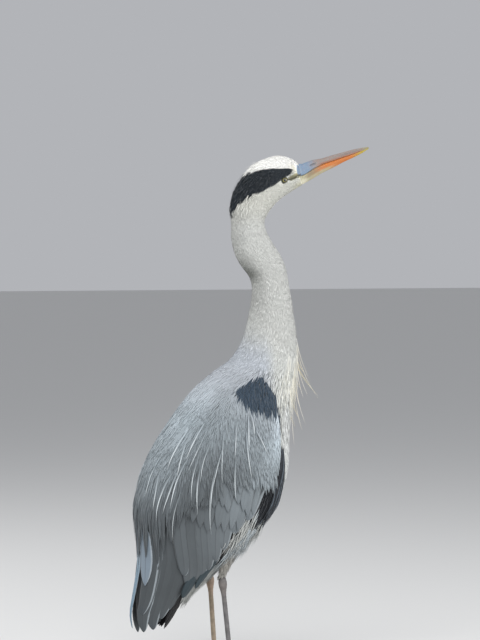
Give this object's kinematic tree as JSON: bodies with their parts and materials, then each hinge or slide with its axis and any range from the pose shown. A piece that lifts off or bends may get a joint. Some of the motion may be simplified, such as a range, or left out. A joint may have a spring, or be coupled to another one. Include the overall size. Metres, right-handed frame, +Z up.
{
  "type": "grey heron",
  "caption": "Adult grey heron standing upright with folded wings, neck raised and bill pointing slightly up, as a still life-size display model.",
  "frame": {"origin": "on the floor, midway between the bird's two sides and midway between the bill's tip and the wings' tips", "axes": "+Z up; the bird faces -Y, its right side is -X and its left side +X"},
  "size_m": [0.1664, 0.3944, 0.814],
  "materials": {
    "neck_plumage": "short close pale grey feathers, matt",
    "crown_plumage": "short close white feathers, matt",
    "belly_plumage": "soft loose white-grey feathers, matt",
    "covert_plumage": "blue-grey feathers with a soft satin sheen",
    "flight_plumage": "slate-grey stiff feathers with a soft satin sheen",
    "black_plumage": "blue-black feathers with a slight sheen",
    "eye": "wet, yellow iris with a black pupil",
    "upper_bill": "grey-brown horn, satin",
    "lower_bill": "orange-yellow horn, satin",
    "leg_skin": "scaly grey-brown skin, satin",
    "claw": "dark horn, satin"
  },
  "bodies": {
    "root": {"trunk": "belly_plumage", "neck_lower": "neck_plumage", "neck_middle": "neck_plumage", "neck_upper": "neck_plumage", "head": "crown_plumage", "crest": "black_plumage", "breast_plumes": "neck_plumage", "eye_left": "eye", "eye_right": "eye", "bill_upper": "upper_bill", "bill_lower": "lower_bill", "coverts_left": "covert_plumage", "coverts_right": "covert_plumage", "scapulars_left": "covert_plumage", "scapulars_right": "covert_plumage", "secondaries_left": "flight_plumage", "secondaries_right": "flight_plumage", "primaries_left": "black_plumage", "primaries_right": "black_plumage", "tail": "flight_plumage", "thigh_left": "belly_plumage", "thigh_right": "belly_plumage", "shank_left": "leg_skin", "shank_right": "leg_skin", "foot_left": "leg_skin", "foot_right": "leg_skin", "claw_middle_left": "claw", "claw_inner_left": "claw", "claw_outer_left": "claw", "claw_hind_left": "claw", "claw_middle_right": "claw", "claw_inner_right": "claw", "claw_outer_right": "claw", "claw_hind_right": "claw"}
  },
  "joints": []
}
